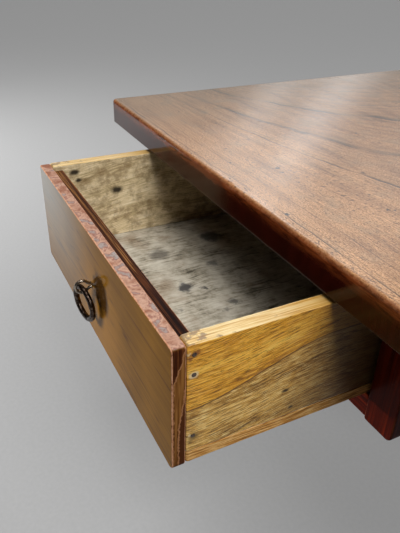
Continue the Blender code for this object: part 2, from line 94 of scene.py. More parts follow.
camera_data = bpy.data.cameras.new("corner_camera")
camera_data.lens = LENS_MM
camera_data.sensor_width = SENSOR_MM
camera_data.clip_start = 1 * MM
camera = bpy.data.objects.new("corner_camera", camera_data)
turn_left = Matrix.Rotation(LOOK_LEFT, 4, "Z")
tip_down = Matrix.Rotation(math.pi / 2 - LOOK_DOWN, 4, "X")
roll = Matrix.Rotation(ROLL, 4, "Z")
camera.matrix_world = Matrix.Translation(CAMERA_PLACE) @ turn_left @ tip_down @ roll
scene.collection.objects.link(camera)
scene.camera = camera
print("camera at", [round(value, 3) for value in camera.location])

# %% [markdown]
# ## Small helpers for every finish
#
# Colours are written as a painter's hex values and turned to the linear numbers that Cycles works in. One
# function adds a node, sets what is plain and links what is not, so that a finish reads as a short recipe.
# Every finish starts from the same two facts about a point: where it is, in millimetres, and how it faces.

# %% Colours and nodes
BLEND = {"output": 2, "data_type": "RGBA"}
SOFT = {"interpolation_type": "SMOOTHSTEP"}
ALL_THREE = slice(3)


def colour(hex_value):
    """An sRGB hex value such as "8a5a2b" as linear red, green, blue and full alpha."""
    shares = [int(hex_value[at:at + 2], 16) / 255 for at in (0, 2, 4)]
    linear = [share / 12.92 if share <= 0.04045 else ((share + 0.055) / 1.055) ** 2.4 for share in shares]
    return (*linear, 1.0)


def feed(node, inputs):
    """Sets a node's inputs, by name or in a row. Each is a plain value, a hex colour or a socket to link."""
    for key, value in inputs.items() if isinstance(inputs, dict) else enumerate(inputs):
        if isinstance(value, bpy.types.NodeSocket):
            node.id_data.links.new(value, node.inputs[key])
        else:
            node.inputs[key].default_value = colour(value) if isinstance(value, str) else value


def add_node(tree, kind, inputs=(), stops=(), output=0, **settings):
    """Adds one shader node and gives one of its outputs. A kind such as "Math.ADD" has its operation."""
    kind, _, operation = kind.partition(".")
    node = tree.nodes.new("ShaderNode" + kind)
    if operation:
        node.operation = operation
    for name, value in settings.items():
        setattr(node, name, value)
    feed(node, inputs)
    for index, (place, stop) in enumerate(stops):
        elements = node.color_ramp.elements
        element = elements[index] if index < 2 else elements.new(place)
        element.position = place
        element.color = colour(stop) if isinstance(stop, str) else (stop, stop, stop, 1.0)
    return node.outputs[output]


def new_finish(name):
    """A new material, the function that adds its nodes, its shader, and a point's place in mm and facing."""
    material = bpy.data.materials.new(name)
    material.use_nodes = True
    add = functools.partial(add_node, material.node_tree)
    shader = material.node_tree.nodes["Principled BSDF"]
    spot = add("VectorMath.SCALE", {0: add("TexCoord", output=3), 3: 1 / MM})
    return material, add, shader, spot, add("TexCoord", output=1)


print("white is", colour("ffffff")[0], "and mid grey is", round(colour("808080")[0], 3))

# %% [markdown]
# ## Floor and light
#
# The table stands on plain pale paper in soft light. A large lamp high on the right gives the shape, a weak
# one overhead opens the drawer, and a low one in front keeps the drawer front from going black. A fourth,
# turned straight down beside the left end, brightens only the paper that the front's far end mirrors.
# More light would make the paper pale, but the table with it. So the paper is a middle grey, and Light Path
# adds a glow that only the eye and mirrors see, which keeps the shadow. Behind the left end the room has a
# tall bright window with two bars of light. It hardly lights anything, but the rubbed top mirrors it as a
# pale veil, so it is part of the world.

# %% Make the floor
FLOOR_SIZE = 60.0
FLOOR_GAP = 0.2 * MM
PAPER_FLECK_MM = 4.0
PAPER_GLOW = 0.23
floor_height = cad_box[0][2] - FLOOR_GAP
floor_finish, add, shader, spot, _ = new_finish("pale_floor_paper")
fleck = add("TexNoise", {"Vector": spot, "Scale": 1 / PAPER_FLECK_MM, "Detail": 2.0})
tone = add("ValToRGB", (fleck,), stops=[(0.3, "727272"), (0.7, "787878")])
seen = add("LightPath", output="Is Camera Ray")
for ray in ("Is Glossy Ray", "Is Transmission Ray"):
    seen = add("Math.MAXIMUM", (seen, add("LightPath", output=ray)))
glow = add("Math.MULTIPLY", (seen, PAPER_GLOW))
feed(shader, {"Base Color": tone, "Roughness": 0.9, "Specular IOR Level": 0.1})
feed(shader, {"Emission Color": "ffffff", "Emission Strength": glow})

bpy.ops.mesh.primitive_grid_add(x_subdivisions=4, y_subdivisions=4, size=FLOOR_SIZE)
floor = bpy.context.object
floor.name = "floor"
floor.location.z = floor_height
floor.data.materials.append(floor_finish)
print("floor at", round(floor_height, 4))

# %% Make the lamps
def soft_lamp(name, place, aim, width, watts, mirrored=True, spread=180):
    """A square studio lamp that looks from its place at a point. Glossy finishes may leave it out."""
    lamp_data = bpy.data.lights.new(name, "AREA")
    lamp_data.size = width
    lamp_data.energy = watts
    lamp_data.spread = math.radians(spread)
    lamp = bpy.data.objects.new(name, lamp_data)
    lamp.location = place
    lamp.rotation_euler = (Vector(aim) - Vector(place)).to_track_quat("-Z", "Y").to_euler()
    lamp.visible_glossy = mirrored
    lamp.visible_camera = False
    scene.collection.objects.link(lamp)


DRAWER_MIDDLE = (-0.15, -0.25, -0.06)
soft_lamp("key_lamp", (1.25, -0.24, 1.45), DRAWER_MIDDLE, 0.9, 38)
soft_lamp("overhead_lamp", (-0.35, -0.8, 2.0), DRAWER_MIDDLE, 1.2, 16)
soft_lamp("low_fill_lamp", (-1.45, -1.0, -0.1), DRAWER_MIDDLE, 0.3, 27, mirrored=False)
soft_lamp("paper_lamp", (-1.3, -0.6, 0.6), (-1.3, -0.6, 0.0), 0.9, 5, mirrored=False, spread=120)

# %% Make the room
WINDOW_LIGHT = 5.4
WINDOW_TURNS = (
    (112, 0.0), (126, 0.4), (138.4, 0.36), (140.7, 1.0), (142.4, 1.0), (144.3, 0.26),
    (144.8, 0.26), (146.0, 0.86), (147.3, 0.86), (149.6, 0.28), (160, 0.26), (174, 0.0),
)
WINDOW_LEAN = 36 / 180
LEAN_LEVEL = 0.276
WINDOW_RISE = ((0.1, 0.1), (0.22, 0.25), (0.31, 0.45), (0.44, 0.7), (0.52, 0.86), (0.62, 0.95), (0.8, 0.2))
world = bpy.data.worlds.new("grey_room")
world.use_nodes = True
add = functools.partial(add_node, world.node_tree)
east, north, rise = add("SeparateXYZ", (add("TexCoord"),), output=ALL_THREE)
sky = add("ValToRGB", (rise,), stops=[(0.0, 0.015), (0.7, 0.04)])
turn = add("Math.ARCTAN2", (north, east))
turn = add("Math.MULTIPLY", (turn, 1 / math.pi))
lean = add("Math.SUBTRACT", (LEAN_LEVEL, rise))
turn = add("Math.MULTIPLY_ADD", (lean, WINDOW_LEAN, turn))
across = add("ValToRGB", (turn,), stops=[(degrees / 180, share) for degrees, share in WINDOW_TURNS])
up = add("ValToRGB", (rise,), stops=WINDOW_RISE)
window = add("Mix", {0: 1.0, 6: across, 7: up}, **BLEND, blend_type="MULTIPLY")
window = add("VectorMath.SCALE", {0: window, 3: WINDOW_LIGHT})
light = add("VectorMath.ADD", (window, sky))
feed(world.node_tree.nodes["Background"], {"Color": light})
scene.world = world
print("the window spans", WINDOW_TURNS[0][0], "to", WINDOW_TURNS[-1][0], "degrees")

# %% [markdown]
# ## Boards with worn arrises
#
# Every wooden piece is a board. A cube with a Bevel modifier has perfect edges, and old furniture has none.
# So a board is drawn as an outline with a point every few millimetres, and rings of that outline are stacked
# into rounded arrises whose radius wanders from point to point. Each point remembers how worn it is, in an
# attribute that the finishes read.

# %% The outline of a board
CORNER_STEPS = 6
# Points of an outline lie closer together near the camera than out of sight
FINE_STEP = 1.5 * MM
USUAL_STEP = 2.5 * MM
WIDE_STEP = 3 * MM
COARSE_STEP = 4 * MM


def outline_points(low, high, corners, step):
    """A rectangle with four corner radii: (point, outward) pairs, counter-clockwise from its low corner."""
    signs = ((-1, -1), (1, -1), (1, 1), (-1, 1))
    rows = []
    for number, (sign_u, sign_v) in enumerate(signs):
        radius = corners[number]
        centre_u = low[0] + radius if sign_u < 0 else high[0] - radius
        centre_v = low[1] + radius if sign_v < 0 else high[1] - radius
        start = math.pi + number * math.pi / 2
        for part in range(CORNER_STEPS + 1):
            angle = start + part / CORNER_STEPS * math.pi / 2
            outward = Vector((math.cos(angle), math.sin(angle)))
            rows.append((Vector((centre_u, centre_v)) + radius * outward, outward))
    points = []
    for number, (point, outward) in enumerate(rows):
        points.append((point, outward))
        following, next_outward = rows[(number + 1) % len(rows)]
        if number % (CORNER_STEPS + 1) == CORNER_STEPS:
            count = int((following - point).length / step)
            for part in range(1, count):
                points.append((point.lerp(following, part / count), next_outward))
    return points


def lift(axis, flat, level):
    """A point of an outline, set at a level along the axis that the board is thick in."""
    place = [flat[0], flat[1]]
    place.insert(axis, level)
    return Vector(place)


print("corners are rounded in", CORNER_STEPS, "steps")

# %% The board helper
ARRIS_STEPS = 5
SUPPORT = 0.6 * MM
LEAST_ARRIS = 0.2 * MM


def add_board(block, axis, low, high, corners, arrises, step, wear=None):
    """Adds a board to a bmesh. Its outline lies square to the axis, and arrises are its two edge radii.
    wear(place, is_high) gives how much wider the arris is worn there, in metres."""
    worn = block.verts.layers.float.get("worn") or block.verts.layers.float.new("worn")
    flat_low = [low[at] for at in range(3) if at != axis]
    flat_high = [high[at] for at in range(3) if at != axis]
    points = outline_points(flat_low, flat_high, corners, step)
    widest = min(corners) - SUPPORT - LEAST_ARRIS
    rings = []
    for is_high in (False, True):
        level = high[axis] if is_high else low[axis]
        inward = -1 if is_high else 1
        steps = [(-1, 0.0)] + [(0, part / ARRIS_STEPS) for part in range(ARRIS_STEPS + 1)] + [(1, 1.0)]
        group = []
        for support, share in steps:
            ring = []
            turn = share * math.pi / 2
            for flat, outward in points:
                place = lift(axis, flat, level)
                radius = arrises[is_high] + (wear(place, is_high) if wear else 0.0)
                radius = min(max(radius, LEAST_ARRIS), widest)
                inset = radius * (1 - math.sin(turn)) + (SUPPORT if support < 0 else 0)
                drop = radius * (1 - math.cos(turn)) + (SUPPORT if support > 0 else 0)
                vertex = block.verts.new(lift(axis, flat - outward * inset, level + inward * drop))
                vertex[worn] = math.sin(2 * turn) if support == 0 else 0.0
                ring.append(vertex)
            group.append(ring)
        rings += group if not is_high else group[::-1]
    count = len(points)
    faces = [block.faces.new(rings[0]), block.faces.new(rings[-1])]
    for lower, upper in zip(rings, rings[1:]):
        for at in range(count):
            following = (at + 1) % count
            faces.append(block.faces.new((lower[at], lower[following], upper[following], upper[at])))
    bmesh.ops.recalc_face_normals(block, faces=faces)
    return block


print("arrises are rounded in", ARRIS_STEPS, "steps")

# %% Wear and finished pieces
def wander(place, size, seed=0.0):
    """Smooth noise from -1 to 1 that changes over the given length."""
    return noise.noise(Vector(place) / size + Vector((seed, seed, seed)))


def nicks(place, size, limit, depth, seed):
    """Small separate nicks: zero nearly everywhere, and a little depth where the noise is high."""
    return depth * max(0.0, wander(place, size, seed) - limit) / (1 - limit)


def show_piece(block, name, material, *replaced):
    """Makes a piece from a finished bmesh. It stands for CAD nodes, takes their body and hides them."""
    mesh = bpy.data.meshes.new(name)
    block.to_mesh(mesh)
    block.free()
    mesh.materials.append(material)
    mesh.shade_smooth()
    piece = bpy.data.objects.new(name, mesh)
    scene.collection.objects.link(piece)
    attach(piece, body_of[replaced[0]])
    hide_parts(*replaced)
    print(name, len(mesh.vertices), "points, on", body_of[replaced[0]])
    return piece


print("pieces to dress:", len(slot_of))

# %% [markdown]
# ## Patterns that all the wood shares
#
# Old wood shows the same things again and again: cloudy patches, fibres drawn out along the grain, spots, and
# outlines that are never clean. A photographed texture would fit one board only. Noise fits any of them, so
# five short recipes are set out here, sizes in millimetres, and the finishes below are made of them.

# %% Patches, grain, spots, ragged outlines and layers
def blotches(add, spot, size, detail, limits, shares=(0.0, 1.0), rough=0.5):
    """Cloudy patches of one size. Noise between the limits is spread over the shares."""
    cloud = add("TexNoise", {"Vector": spot, "Scale": 1 / size, "Detail": detail, "Roughness": rough})
    return add("MapRange", (cloud, *limits, *shares))


def grain(add, spot, lengths, detail, rough=0.5, distortion=0.0):
    """Noise drawn out along the fibres. The lengths are those of a streak along each axis."""
    drawn = add("VectorMath.MULTIPLY", (spot, [1 / length for length in lengths]))
    look = {"Scale": 1.0, "Detail": detail, "Roughness": rough, "Distortion": distortion}
    return add("TexNoise", {"Vector": drawn, **look})


def ragged(add, spot, size, reach, detail, rough=0.5, middle=0.5):
    """The places pushed about by noise, so that an outline drawn from them has no clean edge."""
    look = {"Scale": 1 / size, "Detail": detail, "Roughness": rough}
    push = add("TexNoise", {"Vector": spot, **look}, output=1)
    push = add("VectorMath.SUBTRACT", (push, (middle,) * 3))
    return add("VectorMath.MULTIPLY_ADD", (push, reach, spot))


def around(add, spot, centre, inner, outer, strength=1.0, **settings):
    """Full strength up to the inner distance from a centre, fading to nothing at the outer one."""
    gap = add("VectorMath.DISTANCE", (spot, centre), output=1)
    return add("MapRange", (gap, inner, outer, strength, 0.0), **settings)


def lay(add, ground, layers):
    """Colours laid over a ground like coats of stain, each through its own mask."""
    for mask, tint in layers:
        ground = add("Mix", {0: mask, 6: ground, 7: tint}, **BLEND)
    return ground


print("recipes:", [recipe.__name__ for recipe in (blotches, grain, ragged, around, lay)])

# %% [markdown]
# ## The top: zelkova under worn lacquer
#
# Zelkova is ring-porous: each year's growth starts with a row of open pores, a dark line, and fades to smooth
# late wood. Sawn along the trunk, the rings run straight near the edge of the board and close into arches
# further in. A straight wave texture gives only stripes, so the ring number is worked out here from the
# slope that the lines have at each distance from the front edge. Sleeves have rubbed a paler band along it.

# %% Growth rings of the top
top_low, top_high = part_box("top_board")
ARCH_LINE_MM = 360.0
ARCH_SOFT_MM = 25.0
EDGE_SLOPE = 0.004
SLOPE_GROWTH = 2.54e-5
RING_RATE_MM = 1279.0
RING_SCALE = 0.36


def add_rings(add, spot):
    """The ring number at each point, its place along the board and its distance from the front edge."""
    bent = ragged(add, spot, 80, (55, 11, 0), 3.0)
    along, across, _ = add("SeparateXYZ", (bent,), output=ALL_THREE)
    off_arch = add("Math.SUBTRACT", (across, top_low.y / MM + ARCH_LINE_MM))
    squared = add("Math.MULTIPLY_ADD", (off_arch, off_arch, ARCH_SOFT_MM ** 2))
    off_arch = add("Math.SQRT", (squared,))
    from_edge = add("Math.SUBTRACT", (ARCH_LINE_MM, off_arch))
    # Lines whose slope is EDGE_SLOPE + SLOPE_GROWTH * distance^2 keep this level
    steep = add("Math.MULTIPLY", (from_edge, math.sqrt(SLOPE_GROWTH / EDGE_SLOPE)))
    bend = add("Math.ARCTANGENT", (steep,))
    reach = 1 / math.sqrt(SLOPE_GROWTH * EDGE_SLOPE)
    level = add("Math.MULTIPLY", (bend, reach))
    level = add("Math.SUBTRACT", (level, along))
    power = add("Math.MULTIPLY", (level, 1 / RING_RATE_MM))
    ring = add("Math.EXPONENT", (power,))
    ring = add("Math.MULTIPLY", (ring, RING_SCALE))
    # Good years and bad years: the rings are not equally wide
    growth = add("TexNoise", {"W": ring, "Scale": 0.6, "Detail": 2.0}, noise_dimensions="1D")
    ring = add("Math.MULTIPLY_ADD", (growth, 1.3, ring))
    return ring, along, from_edge


print("a year is about", round(RING_RATE_MM * EDGE_SLOPE / RING_SCALE), "mm wide at the front edge")

# %% Dents of the top
DENTS = (
    (-117.8, -136.5, 1.5), (-115.5, -133.0, 1.0), (-211.5, -162.0, 2.6), (-202.5, -163.5, 1.6),
    (-139.6, -202.0, 2.2), (-266.1, -177.4, 1.6), (-257.0, -47.3, 1.6), (-362.6, 18.2, 2.6),
    (-236.0, -190.0, 1.4), (-177.0, -107.4, 1.8), (150.0, -60.0, 2.2), (262.0, 95.0, 1.8),
)


def add_dents(add, spot):
    """One in the middle of each dent, zero around it. The outline of a dent is ragged."""
    uneven = ragged(add, spot, 1.6, (3.0, 3.0, 0), 2.0)
    dents = 0.0
    for x, y, radius in DENTS:
        dents = add("Math.MAXIMUM", (dents, around(add, uneven, (x, y, 0), radius * 0.5, radius)))
    return dents


print("dents on the top:", len(DENTS))

# %% Growth lines of the top
STRONG_LINE = ((0.0, 1.0), (0.07, 0.85), (0.13, 0.25), (0.34, 0.0), (0.97, 0.0), (1.0, 0.9))
FINE_LINE = ((0.0, 0.4), (0.25, 0.2), (0.5, 0.0), (0.92, 0.0), (1.0, 0.4))
FINE_LINES = 3.6


def add_growth_lines(add, spot, ring):
    """How dark the growth lines are: a strong one where a year starts, and finer ones between them."""
    line = add("ValToRGB", (add("Math.FRACT", (ring,)),), stops=STRONG_LINE)
    # No two years are alike, so each line gets a strength of its own and fades in and out along its way
    chance = add("TexWhiteNoise", {"W": add("Math.FLOOR", (ring,))}, noise_dimensions="1D")
    chance = add("MapRange", (chance, 0.25, 0.9))
    fade = blotches(add, spot, 38, 3.0, (0.36, 0.6), (0.4, 1.0))
    line = add("Math.MULTIPLY", (line, fade))
    line = add("Math.MULTIPLY", (line, chance))
    finer = add("Math.FRACT", (add("Math.MULTIPLY", (ring, FINE_LINES)),))
    finer = add("ValToRGB", (finer,), stops=FINE_LINE)
    finer = add("Math.MULTIPLY", (finer, fade))
    return add("Math.MAXIMUM", (line, finer))


print("fine lines in a year:", FINE_LINES)

# %% Rubbed wood of the top
# A dash of fibre or pore along the rings: its width as a share of a ring, its length in millimetres.
# Real pores are narrower than the picture can show, so they are drawn wide enough to be seen
FIBRE_DASH = (1 / 9, 1 / 0.11, 1)
PORE_DASH = (1 / 6, 1 / 0.3, 1)
SLEEVE_BAND_MM = (50, 135)
SLEEVE_REACH_MM = (-400, -230)
UNTOUCHED_END_MM = (-440, -290)


def add_rubbed_wood(add, spot):
    """The writing surface under its thin lacquer: its colour, its fibres and its relief."""
    ring, along, from_edge = add_rings(add, spot)
    line = add_growth_lines(add, spot, ring)
    streak = add("CombineXYZ", (ring, along, 0.0))
    fibre = grain(add, streak, FIBRE_DASH, 4.0, 0.72)
    fibre = add("MapRange", (fibre, 0.34, 0.62))
    band = add("MapRange", (from_edge, *SLEEVE_BAND_MM, 1.0, 0.0), **SOFT)
    # Nobody's sleeve reaches the left end, so the band fades out there
    reached = add("MapRange", (along, *SLEEVE_REACH_MM, 0.3, 1.0))
    band = add("Math.MULTIPLY", (band, reached))
    pale = add("Mix", {0: band, 6: "9e7348", 7: "e6ae74"}, **BLEND)
    dark = add("Mix", {0: band, 6: "724c2c", 7: "96622e"}, **BLEND)
    wood = add("Mix", {0: fibre, 6: dark, 7: pale}, **BLEND)
    speck = blotches(add, spot, 1.2, 3.0, (0.4, 0.62), rough=0.75)
    grit = add("MapRange", {0: speck, 3: 0.65, 4: 0.0})
    speck = add("Math.MULTIPLY", (speck, 0.62))
    mottle = grain(add, spot, (120, 16, 1), 5.0, 0.65)
    mottle = add("MapRange", (mottle, 0.46, 0.68, 0.0, 0.5))
    pores = grain(add, streak, PORE_DASH, 2.0, 0.8)
    pores = add("MapRange", (pores, 0.55, 0.63))
    clear = add("MapRange", {0: band, 3: 0.35, 4: 0.8})
    pores = add("Math.MULTIPLY", (pores, clear))
    line = add("Math.MAXIMUM", (line, pores))
    haze = blotches(add, spot, 26, 4.0, (0.52, 0.7), (0.0, 0.3), rough=0.65)
    untouched = add("MapRange", (along, *UNTOUCHED_END_MM, 0.45, 0.0))
    haze = add("Math.ADD", (haze, untouched))
    dents = add_dents(add, spot)
    layers = [(grit, "7c4c28"), (speck, "e2b184"), (mottle, "5e3013")]
    layers += [(line, "2c180c"), (haze, "7d725f"), (dents, "2b2520")]
    relief = add("Math.ADD", (fibre, speck))
    relief = add("Math.SUBTRACT", (relief, dents))
    return lay(add, wood, layers), fibre, relief


print("sleeves rub the top up to", SLEEVE_BAND_MM[1], "mm from its front edge")

# %% Finish of the top
def make_top_finish(name, ior):
    """Zelkova with rubbed transparent lacquer: orange-brown, dark growth lines, fine pores, a satin veil."""
    material, add, shader, spot, facing = new_finish(name)
    wood, fibre, relief = add_rubbed_wood(add, spot)
    # The faces that no sleeve rubs keep their dark maroon lacquer
    up = add("SeparateXYZ", (facing,), output=2)
    rubbed = add("MapRange", (up, 0.45, 0.95), **SOFT)
    maroon = add("Mix", {0: fibre, 6: "1d0502", 7: "2c0b05"}, **BLEND)
    body = add("Mix", {0: rubbed, 6: maroon, 7: wood}, **BLEND)
    # Below the upper arris the maroon gets thin for some millimetres, in streaks along the edge
    height = add("SeparateXYZ", (spot,), output=2)
    thin = add("MapRange", (height, -11, -1.5), **SOFT)
    uneven = grain(add, spot, (14, 6, 2.4), 5.0, 0.7)
    uneven = add("MapRange", (uneven, 0.4, 0.6, 0.15, 1.0))
    thin = add("Math.MULTIPLY", (thin, uneven))
    unrubbed = add("MapRange", {0: rubbed, 3: 1.0, 4: 0.0})
    thin = add("Math.MULTIPLY", (thin, unrubbed))
    worn = add("Attribute", output=2, attribute_name="worn")
    patch = blotches(add, spot, 4.5, 5.0, (0.35, 0.6), (0.05, 0.75), rough=0.75)
    worn = add("Math.MULTIPLY", (worn, patch))
    upper = add("MapRange", (height, -14, -10))
    bare = add("Mix", {0: upper, 6: "5a4a42", 7: "8a5632"}, **BLEND)
    body = lay(add, body, ((thin, "703618"), (worn, bare)))

    satin = blotches(add, spot, 30, 3.0, (0.35, 0.65), (0.08, 0.13))
    gloss = add("Mix", {0: rubbed, 2: 0.08, 3: satin})
    gloss = add("Mix", {0: worn, 2: gloss, 3: 0.55})
    bump = add("Bump", {"Height": relief, "Strength": 0.12, "Distance": 0.1 * MM})
    wave = grain(add, spot, (45,) * 3, 1.0)
    bump = add("Bump", {"Height": wave, "Strength": 0.2, "Distance": 0.5 * MM, "Normal": bump})
    feed(shader, {"Base Color": body, "Roughness": gloss, "Normal": bump, "IOR": ior})
    return material


top_finish = make_top_finish("zelkova_rubbed_lacquer", 1.5)
edge_finish = make_top_finish("zelkova_edge_lacquer", 1.25)
print("finishes", top_finish.name, edge_finish.name)

# %% Shape of the top
TOP_ARRIS = 3.2 * MM
UNDER_ARRIS = 0.9 * MM
TOP_CORNER = 5.5 * MM
FRONT_CHIPS = ((-201.5 * MM, 1.5 * MM), (-87.8 * MM, 1.2 * MM), (-330 * MM, 0.7 * MM), (60 * MM, 0.9 * MM))
CHIP_WIDTH = 5 * MM
POLISHED_FACING = 0.4


def top_wear(place, is_high):
    """Sleeves have rubbed the upper arris rounder, with a few chips along the front."""
    if not is_high:
        return 0.25 * MM * wander(place, 18 * MM)
    rub = 0.4 * MM * wander(place, 55 * MM) + 0.12 * MM * wander(place, 6 * MM)
    rub += nicks(place, 7 * MM, 0.4, 0.8 * MM, 2.0)
    if place.y < top_low.y + TOP_CORNER:
        for chip, depth in FRONT_CHIPS:
            rub += depth * math.exp(-((place.x - chip) / CHIP_WIDTH) ** 2)
    return rub


corners = (TOP_CORNER,) * 4
arrises = (UNDER_ARRIS, TOP_ARRIS)
block = add_board(bmesh.new(), 2, top_low, top_high, corners, arrises, USUAL_STEP, top_wear)
top = show_piece(block, "rubbed_top", top_finish, "top_board")
# The edges were never polished as the writing surface was, so they mirror less
top.data.materials.append(edge_finish)
for face in top.data.polygons:
    face.material_index = 1 if face.normal.z < POLISHED_FACING else 0

# %% [markdown]
# ## The frame: maroon lacquer
#
# Legs, bearers, posts and rails were brushed with dark maroon lacquer, which stays glossy because nobody
# touches it. The grain only shows as faint redder streaks along each piece, and the arrises are rubbed. The
# pieces in the shade keep the joiner's solids with a Bevel modifier, which is enough there. Only the posts
# and rails beside the drawer are drawn again, with worn arrises.

# %% Finish of the frame
def make_frame_finish(name, axis):
    """Dark maroon lacquer over hardwood: deep and glossy, with faint streaks along one axis."""
    material, add, shader, spot, facing = new_finish(name)
    lengths = [2.2, 2.2, 2.2]
    lengths[axis] = 80
    fine = grain(add, spot, lengths, 4.0, distortion=0.4)
    tone = add("ValToRGB", (fine,), stops=[(0.3, "340803"), (0.5, "561404"), (0.72, "7c2408")])
    redder = blotches(add, spot, 60, 2.0, (0.4, 0.65), (0.0, 0.5))
    # Every piece stands square, so a face that looks along no axis is an arris
    square = add("VectorMath.ABSOLUTE", (facing,))
    x, y, z = add("SeparateXYZ", (square,), output=ALL_THREE)
    squarest = add("Math.MAXIMUM", (x, add("Math.MAXIMUM", (y, z))))
    edge = add("MapRange", (squarest, 0.85, 0.99, 0.8, 0.0))
    worn = add("Attribute", output=2, attribute_name="worn")
    edge = add("Math.MAXIMUM", (edge, worn))
    patch = blotches(add, spot, 7, 3.0, (0.42, 0.62), (0.0, 0.7))
    edge = add("Math.MULTIPLY", (edge, patch))
    tone = lay(add, tone, ((redder, "521507"), (edge, "8a4a26")))
    gloss = blotches(add, spot, 25, 3.0, (0.3, 0.7), (0.16, 0.3))
    bump = add("Bump", {"Height": fine, "Strength": 0.15, "Distance": 0.15 * MM})
    feed(shader, {"Base Color": tone, "Roughness": gloss, "Normal": bump, "IOR": 1.12})
    return material


frame_finishes = [make_frame_finish("maroon_lacquer_" + way, axis) for axis, way in enumerate("xyz")]


def longest_axis(node):
    """The axis that a piece is longest in, which is the way its grain runs."""
    low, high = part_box(node)
    size = high - low
    return max(range(3), key=lambda axis: size[axis])


def dress(node, material):
    """Gives a CAD node a finish in place of its plain one."""
    nodes[node].data.materials.clear()
    nodes[node].data.materials.append(material)


LEG_ARRIS = 1.2 * MM
for node, slot in slot_of.items():
    if slot == "frame_lacquer":
        dress(node, frame_finishes[longest_axis(node)])
        arris = nodes[node].modifiers.new("soft_arris", "BEVEL")
        arris.width = LEG_ARRIS
        arris.segments = 3
        arris.limit_method = "ANGLE"
print("maroon pieces:", sum(slot == "frame_lacquer" for slot in slot_of.values()))

# %% Worn front post and rail of the drawer case
FRAME_ARRISES = (1.1 * MM,) * 2
FRAME_CORNER = 2.2 * MM
POST_FOOT_ROUND = 5 * MM
CASE_GAP = 0.3 * MM
POST_TENON_UP = 12 * MM
RAIL_TENON_LENGTH = 11 * MM


def frame_wear(place, is_high):
    """Knocks and polishing have softened these arrises unevenly."""
    return 0.3 * MM * wander(place, 16 * MM) + nicks(place, 8 * MM, 0.4, 0.7 * MM, 5.0)


for end in ("front", "rear"):
    node = "case_" + end + "_post"
    low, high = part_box(node)
    high.z -= POST_TENON_UP + CASE_GAP
    corners = (FRAME_CORNER, POST_FOOT_ROUND, FRAME_CORNER, FRAME_CORNER)
    block = add_board(bmesh.new(), 1, low, high, corners, FRAME_ARRISES, WIDE_STEP, frame_wear)
    show_piece(block, "worn_" + end + "_post", frame_finishes[2], node)
    node = "case_" + end + "_rail"
    low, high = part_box(node)
    low.x += RAIL_TENON_LENGTH
    high.x -= RAIL_TENON_LENGTH
    corners = (FRAME_CORNER,) * 4
    block = add_board(bmesh.new(), 1, low, high, corners, FRAME_ARRISES, WIDE_STEP, frame_wear)
    show_piece(block, "worn_" + end + "_rail", frame_finishes[0], node)

# %% [markdown]
# ## The drawer front: golden lacquer
#
# The front is one board with a lip in front and a lower tongue behind. Its face is the glossiest surface of
# the table and mirrors the floor and the ring. The top of the lip has lost its lacquer to hands, in pink and
# grey patches, and its end grain has drunk the lacquer and gone dark. A finish of its own for each of these
# would leave hard lines between them. So one finish reads where a point lies and how it faces, and blends
# them all.

# %% Face of the drawer front
front_low, front_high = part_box("drawer_front")
GRAIN_SLANT = math.radians(-9)
FLOOR_REFLECTION_ALONG_MM = (-360, -185)
FLOOR_REFLECTION_HEIGHT_MM = (-115, -45)
LIGHT_POOL_PLACE_MM = (-205.0, -312.5, -100.0)
RING_MIRROR_PLACE_MM = (-199.0, -312.5, -66.5)


def add_face(add, spot, along, height):
    """The colour of the face: stained wood with slanting grain, a painted reflection of the floor, a painted
    pool of light and a painted reflection of the ring.
    """
    slant = add("Mapping", {0: spot, 2: (0, GRAIN_SLANT, 0), 3: (1 / 70, 1 / 8, 1 / 2.4)})
    fine = add("TexNoise", {"Vector": slant, "Scale": 1.0, "Detail": 4.0, "Roughness": 0.6})
    cloud = grain(add, spot, (45,) * 3, 3.0)
    both = add("Mix", {0: 0.55, 2: fine, 3: cloud})
    face = add("ValToRGB", (both,), stops=[(0.34, "684407"), (0.5, "78500a"), (0.66, "885d12")])
    # A few long dark growth lines run slanting across the face
    vein = add("Mapping", {0: spot, 2: (0, GRAIN_SLANT, 0), 3: (1 / 260, 1 / 40, 1 / 13)})
    vein = add("TexNoise", {"Vector": vein, "Scale": 1.0, "Detail": 2.0, "Distortion": 0.6})
    vein = add("Math.ABSOLUTE", (add("Math.SUBTRACT", (vein, 0.5)),))
    vein = add("MapRange", (vein, 0.0, 0.016, 0.7, 0.0))
    # Painted reflection: the grey of the mirrored floor towards the upper left; and a painted pool of golden
    # light below the ring
    painted_floor_reflection = add("MapRange", (along, *FLOOR_REFLECTION_ALONG_MM, 1.0, 0.0), **SOFT)
    higher = add("MapRange", (height, *FLOOR_REFLECTION_HEIGHT_MM, 0.14, 0.68))
    painted_floor_reflection = add("Math.MULTIPLY", (painted_floor_reflection, higher))
    painted_light_pool = around(add, spot, LIGHT_POOL_PLACE_MM, 8, 75, 0.5, **SOFT)
    # Painted reflection: the dark mirror image of the ring, drawn beside it
    ring_reflection_outline = ragged(add, spot, 7, (9, 0, 9), 3.0)
    painted_ring_reflection = around(add, ring_reflection_outline, RING_MIRROR_PLACE_MM, 12, 20, 0.85, **SOFT)
    return lay(add, face, ((vein, "40240a"), (painted_floor_reflection, "a4a8a6"), (painted_light_pool, "b07a2c"), (painted_ring_reflection, "2a180c")))


print("the face is", round((front_high.x - front_low.x) / MM), "mm wide")

# %% Lip and tongue of the drawer front
LIP_THICKNESS = 8.7 * MM
WORN_LIP = (
    (0.34, "9c6a54"), (0.44, "b48872"), (0.53, "c8a08a"), (0.56, "a27262"), (0.6, "a08c84"), (0.7, "aa9e98")
)
STREAKED_TONGUE = (
    (0.36, "120503"), (0.47, "30150a"), (0.53, "5e3216"), (0.58, "2a1208"), (0.64, "9c6a3a"), (0.7, "4a2812")
)
front_ends = (front_low.x / MM, front_high.x / MM)
lip_back = (front_low.y + LIP_THICKNESS) / MM


